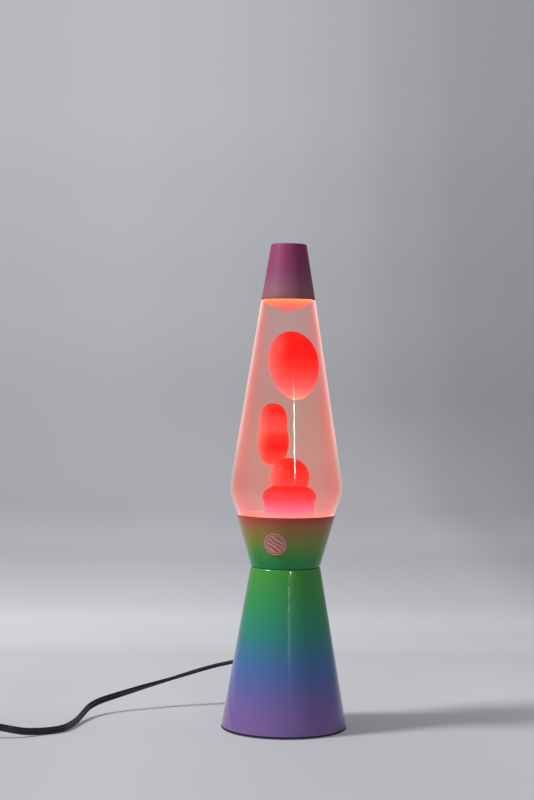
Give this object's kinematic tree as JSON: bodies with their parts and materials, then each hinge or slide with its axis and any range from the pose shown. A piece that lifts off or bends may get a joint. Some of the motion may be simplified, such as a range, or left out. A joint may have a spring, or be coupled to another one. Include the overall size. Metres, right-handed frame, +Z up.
{
  "type": "lava lamp",
  "caption": "Lava lamp: a tapered glass globe of liquid and rising wax on a painted waisted base, with a painted cap, a bulb below and a switched cord.",
  "frame": {"origin": "centre of the base on the table", "axes": "+Z up along the lamp's axis, -Y to the front, where the sticker is; the cord leaves at the rear and lies to -X"},
  "size_m": [0.3622, 0.187, 0.368],
  "materials": {
    "cone_paint": "gloss, fading from green at the waist through blue to violet at the foot",
    "cup_paint": "gloss, fading from red-brown at the rim to green at the waist",
    "cap_paint": "gloss, magenta-violet fading to dusty brown at the lower edge",
    "black_plastic": "moulded, satin",
    "foot_rubber": "matt",
    "zinc_steel": "zinc plated",
    "phenolic": "moulded phenolic",
    "brass": "bright",
    "bulb_glass": "clear",
    "bulb_nickel": "satin",
    "bulb_black_glass": "glossy black insulator",
    "solder": "dull solder",
    "tungsten": "wire",
    "globe_glass": "clear, polished",
    "clear_liquid": "clear salmon liquid",
    "wax": "soft red wax, smooth and translucent",
    "coil_steel": "wire",
    "closure_metal": "lacquered pressed metal",
    "liner": "soft",
    "sticker_film": "printed film",
    "boot_rubber": "satin",
    "cord_vinyl": "satin vinyl",
    "tie_plastic": "satin",
    "switch_plastic": "moulded, fine texture",
    "rocker_plastic": "moulded, gloss",
    "plug_vinyl": "moulded vinyl",
    "blade_metal": "nickel plated"
  },
  "bodies": {
    "base": {"base_cone": "cone_paint", "cup": "cup_paint", "base_plate": "black_plastic", "foot_1": "foot_rubber", "foot_2": "foot_rubber", "foot_3": "foot_rubber", "foot_4": "foot_rubber", "waist_rivet_1": "zinc_steel", "waist_rivet_2": "zinc_steel", "waist_rivet_3": "zinc_steel", "waist_rivet_4": "zinc_steel", "socket_hanger": "zinc_steel", "socket_body": "phenolic", "socket_sleeve": "brass", "socket_contact": "brass", "socket_nipple": "zinc_steel", "socket_nut": "zinc_steel", "socket_lead": "cord_vinyl", "round_sticker": "sticker_film", "strain_relief": "boot_rubber", "cord_to_switch": "cord_vinyl", "cord_to_coil": "cord_vinyl", "cord_to_plug": "cord_vinyl", "cord_coil": "cord_vinyl", "cord_tie": "tie_plastic", "switch_base": "switch_plastic", "switch_cover": "switch_plastic", "plug_body": "plug_vinyl", "plug_blade_1": "blade_metal", "plug_blade_2": "blade_metal"},
    "globe": {"globe_glass": "globe_glass", "globe_liquid": "clear_liquid", "wax_top": "wax", "wax_upper_blob": "wax", "wax_lower_blob": "wax", "wax_dome": "wax", "wax_pool": "wax", "heat_coil": "coil_steel", "closure_liner": "liner", "closure_cap": "closure_metal"},
    "cap": {"top_cap": "cap_paint"},
    "bulb_contact": {"bulb_foot_contact": "solder"},
    "bulb": {"bulb_glass": "bulb_glass", "bulb_shell": "bulb_nickel", "bulb_insulator": "bulb_black_glass", "bulb_filament": "tungsten"},
    "rocker": {"switch_rocker": "rocker_plastic"}
  },
  "joints": [
    {"name": "globe_lift", "type": "slide", "parent": "base", "child": "globe", "axis": [0, 0, 1], "range_m": [0, 0.12]},
    {"name": "cap_lift", "type": "slide", "parent": "globe", "child": "cap", "axis": [0, 0, 1], "range_m": [0, 0.06]},
    {"name": "bulb_rise", "type": "slide", "parent": "base", "child": "bulb_contact", "axis": [0, 0, 1], "range_m": [0, 0.00848]},
    {"name": "bulb_turn", "type": "hinge", "parent": "bulb_contact", "child": "bulb", "pos_m": [0, 0, 0.1], "axis": [0, 0, 1], "range_deg": [0, 1080]},
    {"name": "rocker_tip", "type": "hinge", "parent": "base", "child": "rocker", "pos_m": [-0.255, -0.052, 0.0148], "axis": [0, 1, 0], "range_deg": [-14, 0]}
  ],
  "couplings": [
    {"joint": "bulb_rise", "follows": "bulb_turn", "m_per_rad": 0.00044914}
  ]
}
